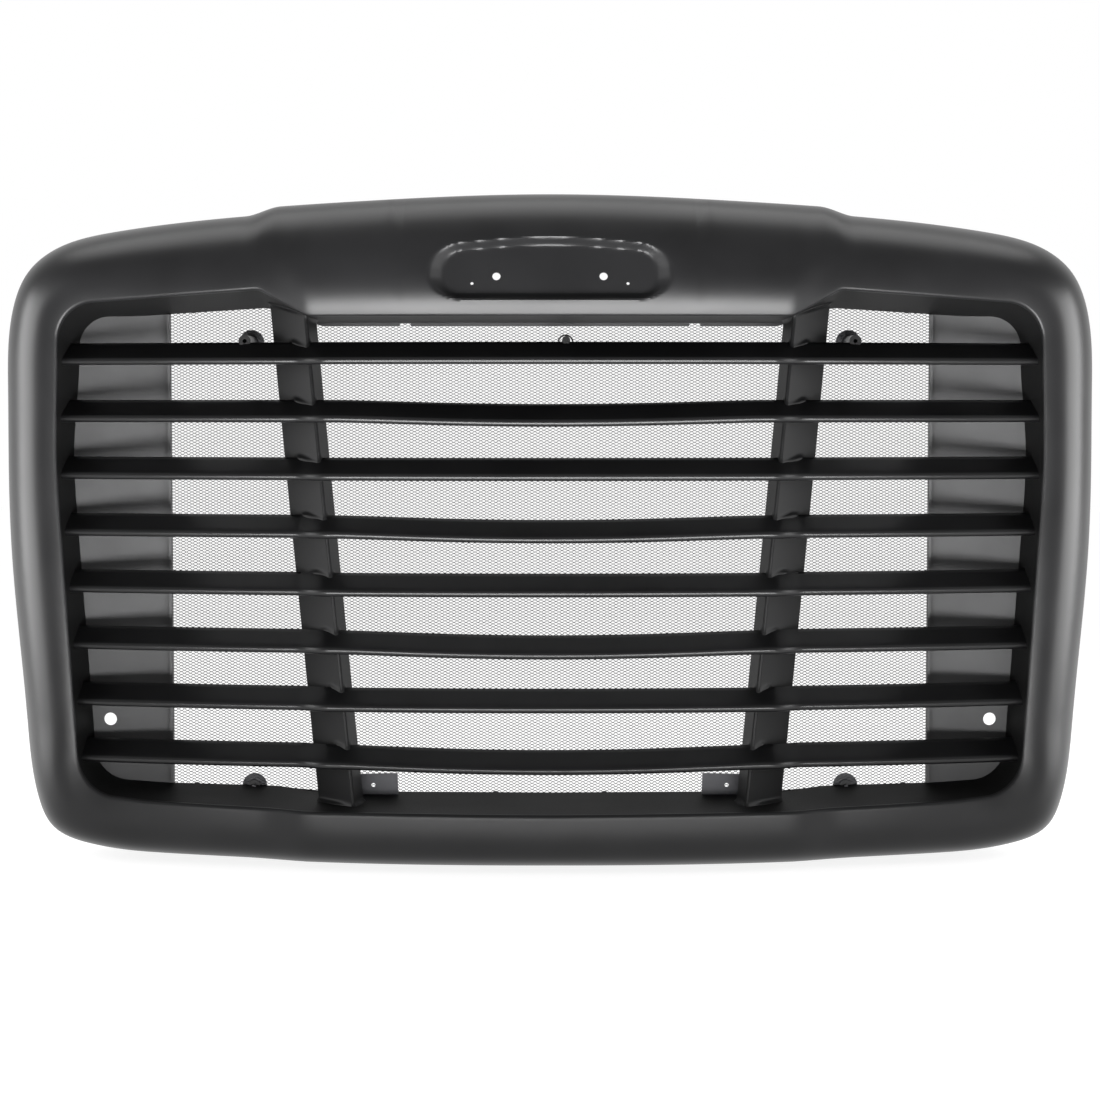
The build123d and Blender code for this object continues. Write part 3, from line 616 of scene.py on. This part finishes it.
PILLAR = pillar_section()
PILLAR_ROWS = 430
out_normal = np.roll(PILLAR, -1, axis=0) - np.roll(PILLAR, 1, axis=0)
out_normal = np.stack([-out_normal[:, 1], out_normal[:, 0]], -1)
out_normal /= np.hypot(*out_normal.T)[:, None]
if (out_normal * (PILLAR - PILLAR.mean(0))).sum() < 0:
    out_normal = -out_normal


def pillar_mesh(side):
    """One pillar from wall to wall, coved into every bar it crosses and into the walls."""
    def plan(z):
        nose_x = PILLAR_X + PILLAR_LEAN * z
        return nose_x + PILLAR[None, :, 0] + 0.0 * z, nose_y(nose_x) + PILLAR_SETBACK + PILLAR[None, :, 1]

    top_x, top_y = plan(np.array([[240.0]]))
    low_x, low_y = plan(np.array([[-290.0]]))
    edges = ((top_y, top_x), (low_y, low_x))
    shares = [np.clip(v[0] / (nose_y(v_x[0]) - BAR_SETBACK), 0.0, 1.0) for v, v_x in edges]
    high = np.array([
        np.interp(s, WALL_SHARES, [reach(line, (px, 0.0), (0.0, 1.0)) for line in WALL_LINES])
        for px, s in zip(top_x[0], shares[0])
    ])
    low = np.array([
        -np.interp(s, WALL_SHARES, [reach(line, (px, 0.0), (0.0, -1.0)) for line in WALL_LINES])
        for px, s in zip(low_x[0], shares[1])
    ])
    t = np.linspace(0.0, 1.0, PILLAR_ROWS)[:, None]
    z = (low - 1.5)[None, :] * (1 - t) + (high + 1.5)[None, :] * t
    x, y = plan(z)
    gap = np.minimum(high[None, :] - z, z - low[None, :])
    for index in range(BARS):
        nose_z = BAR_TOP - index * BAR_PITCH - (index % 2) * droop(x)
        closed = np.concatenate([BLADE, BLADE[:1]])
        near = np.abs(z - nose_z - 8.0) < 32.0
        d = outline_distance((y - nose_y(x))[near], (z - nose_z)[near], closed)
        gap[near] = np.minimum(gap[near], d)
    depth_in = COVE - np.clip(gap, 0.3, COVE)
    flare = COVE - np.sqrt(np.maximum(COVE**2 - depth_in**2, 0.0))
    flare = flare * (0.25 + 0.75 * ease(PILLAR[None, :, 1], 4.0, 20.0))
    x = x + out_normal[None, :, 0] * flare
    y = y + out_normal[None, :, 1] * flare
    rows, cols = x.shape
    faces = [tuple(face) for face in grid_faces(rows, cols, wrap_cols=True)]
    faces.append(tuple(range(cols))[::-1])
    faces.append(tuple((rows - 1) * cols + k for k in range(cols)))
    verts = np.stack([side * x, y, z], -1).reshape(-1, 3)
    if side < 0:
        faces = [face[::-1] for face in faces]
    name = "pillar_right" if side > 0 else "pillar_left"
    piece = mesh_piece(f"{name}_moulding", verts, faces, pillar_painted_shade_mat, sharp=55.0)
    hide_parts(name)


pillar_mesh(1.0)
pillar_mesh(-1.0)


# ---------------------------------------------------------------- bug screen of expanded metal
LONG_WAY, SHORT_WAY = 6.6, 3.3
KNUCKLE, KNUCKLE_HALF, STRAND_HALF, STRAND_DEPTH = 0.95, 0.42, 0.24, 0.6
SCREEN_HALF_W, EDGE_STEP = 440, 6


def screen_edge(sign):
    """Upper (1) or lower (-1) outline of the screen, as rows of x and z."""
    rows = []
    for x in range(0, SCREEN_HALF_W, EDGE_STEP):
        size = section_sizes((float(x), 0.0), 90.0 * sign)
        rows.append((float(x), sign * (size[0] - size[4] + SCREEN_MARGIN)))
    return np.array(rows)


SCREEN_LOW, SCREEN_HIGH = screen_edge(-1), screen_edge(1)


def expanded_metal(name, first_column, columns):
    """Diamond lattice of a strip of the screen: knuckles joined by slanting strands."""
    y_mid = PANEL_WALL + SCREEN_WALL / 2
    spots = []
    for column in range(first_column, first_column + columns):
        for half in (0, 1):
            x = (column + half / 2) * LONG_WAY
            low = np.interp(abs(x), SCREEN_LOW[:, 0], SCREEN_LOW[:, 1])
            high = np.interp(abs(x), SCREEN_HIGH[:, 0], SCREEN_HIGH[:, 1])
            z = np.arange(ceil(low / SHORT_WAY), int(high / SHORT_WAY)) * SHORT_WAY + half * SHORT_WAY / 2
            z = z[np.hypot(x - PIN_X, z - PIN_Z) > GROMMET_HOLE]
            spots.append(np.stack([np.full(z.shape, x), z], -1))
    centre = np.concatenate(spots)
    count = len(centre)

    def prism(ax, az, bx, bz, half):
        """Eight corners of a strand from a to b, as offsets from the knuckle."""
        along = np.array([bx - ax, bz - az])
        side = np.array([-along[1], along[0]]) / np.hypot(*along) * half
        corners = []
        for px, pz in ((ax, az), (bx, bz)):
            for sx, sy in ((1, 1), (-1, 1), (-1, -1), (1, -1)):
                corners.append((px + sx * side[0], y_mid + sy * STRAND_DEPTH / 2, pz + sx * side[1]))
        return np.array(corners)

    start = KNUCKLE * 0.6
    shapes = [
        prism(-KNUCKLE, 0.0, KNUCKLE, 0.0, KNUCKLE_HALF),
        prism(start, 0.0, LONG_WAY / 2 - start, SHORT_WAY / 2, STRAND_HALF),
        prism(start, 0.0, LONG_WAY / 2 - start, -SHORT_WAY / 2, STRAND_HALF),
    ]
    box = np.array([[0, 1, 5, 4], [1, 2, 6, 5], [2, 3, 7, 6], [3, 0, 4, 7], [3, 2, 1, 0], [4, 5, 6, 7]])
    verts, faces = [], []
    for order, shape in enumerate(shapes):
        block = shape[None, :, :] + np.stack([centre[:, 0], np.zeros(count), centre[:, 1]], -1)[:, None, :]
        verts.append(block.reshape(-1, 3))
        offset = (order * count + np.arange(count))[:, None, None] * 8
        faces.append((box[None] + offset).reshape(-1, 4))
    verts, faces = np.concatenate(verts), np.concatenate(faces)
    return mesh_piece(name, verts, faces, screen_mat, sharp=None)


SCREEN_COLUMNS, SCREEN_STRIPS = 132, 11
for index in range(SCREEN_STRIPS):
    first_column = -SCREEN_COLUMNS // 2 + index * (SCREEN_COLUMNS // SCREEN_STRIPS)
    strip = expanded_metal(f"bug_screen_{index + 1}", first_column, SCREEN_COLUMNS // SCREEN_STRIPS)
    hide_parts("screen_mesh")


# ---------------------------------------------------------------- studio
def area_light(name, place, target, size, power):
    """A rectangular soft light aimed at a point; places in metres."""
    data = bpy.data.lights.new(name, "AREA")
    data.shape = "RECTANGLE"
    data.size, data.size_y = size
    data.energy = power
    lamp = bpy.data.objects.new(name, data)
    lamp.visible_camera = False
    lamp.location = place
    lamp.rotation_euler = (Vector(target) - Vector(place)).to_track_quat("-Z", "Y").to_euler()
    bpy.context.scene.collection.objects.link(lamp)
    return lamp


FLOOR_GAP, FLOOR_HALF, FLOOR_TONE, FLOOR_GLOW = 0.001, 9.0, 0.25, 0.86
LIGHT_IN_FRONT, LIGHT_BEHIND = 0.34, 1.0
CAMERA_PLACE, CAMERA_DOWN, CAMERA_LENS, CAMERA_SENSOR = (0.0, -2.840, 0.1386), 3.31, 84.86, 36.0

floor_z = cad_box[0][2] - FLOOR_GAP
floor_mesh = bpy.data.meshes.new("studio_floor")
floor_mesh.from_pydata(
    [
        (-FLOOR_HALF, -FLOOR_HALF, floor_z),
        (FLOOR_HALF, -FLOOR_HALF, floor_z),
        (FLOOR_HALF, FLOOR_HALF, floor_z),
        (-FLOOR_HALF, FLOOR_HALF, floor_z),
    ],
    [],
    [(0, 1, 2, 3)],
)
floor = bpy.data.objects.new("studio_floor", floor_mesh)
floor_mat = bpy.data.materials.new("pale_floor")
floor_mat.use_nodes = True
floor_shader = floor_mat.node_tree.nodes["Principled BSDF"]
floor_shader.inputs["Base Color"].default_value = (FLOOR_TONE, FLOOR_TONE, FLOOR_TONE, 1.0)
floor_shader.inputs["Roughness"].default_value = 0.9
floor_shader.inputs["Emission Color"].default_value = (1.0, 1.0, 1.0, 1.0)
floor_shader.inputs["Emission Strength"].default_value = FLOOR_GLOW
floor_mesh.materials.append(floor_mat)
bpy.context.scene.collection.objects.link(floor)

area_light("low_front_panel", (0.0, -1.1, -0.33), (0.0, -1.0, 2.0), (1.5, 0.8), 90.0)
area_light("left_softbox", (-1.9, -0.1, 0.05), (0.0, -0.1, 0.05), (1.2, 1.5), 46.0)
area_light("right_softbox", (1.9, -0.1, 0.05), (0.0, -0.1, 0.05), (1.2, 1.5), 46.0)
area_light("top_softbox", (0.0, 0.45, 1.7), (0.0, -0.1, 0.3), (2.8, 0.9), 20.0)

world = bpy.data.worlds.new("studio_white")
bpy.context.scene.world = world
world.use_nodes = True
world_nodes = world.node_tree.nodes
world_nodes["Background"].inputs["Color"].default_value = (1.0, 1.0, 1.0, 1.0)
# White behind the object, dimmer towards the front, so that the black shell keeps its depth.
world_links = world.node_tree.links
world_way = world_nodes.new("ShaderNodeTexCoord")
world_split = world_nodes.new("ShaderNodeSeparateXYZ")
world_range = world_nodes.new("ShaderNodeMapRange")
world_range.inputs["From Min"].default_value = 0.5
world_range.inputs["From Max"].default_value = 0.9
world_range.inputs["To Min"].default_value = LIGHT_IN_FRONT
world_range.inputs["To Max"].default_value = LIGHT_BEHIND
world_links.new(world_way.outputs["Generated"], world_split.inputs["Vector"])
world_links.new(world_split.outputs["Y"], world_range.inputs["Value"])
world_links.new(world_range.outputs["Result"], world_nodes["Background"].inputs["Strength"])

camera_data = bpy.data.cameras.new("camera")
camera = bpy.data.objects.new("camera", camera_data)
camera_data.sensor_width = CAMERA_SENSOR
camera_data.lens = CAMERA_LENS
camera.location = CAMERA_PLACE
camera.rotation_euler = (radians(90.0 - CAMERA_DOWN), 0.0, 0.0)
bpy.context.scene.collection.objects.link(camera)
bpy.context.scene.camera = camera
bpy.context.scene.view_settings.view_transform = "Standard"
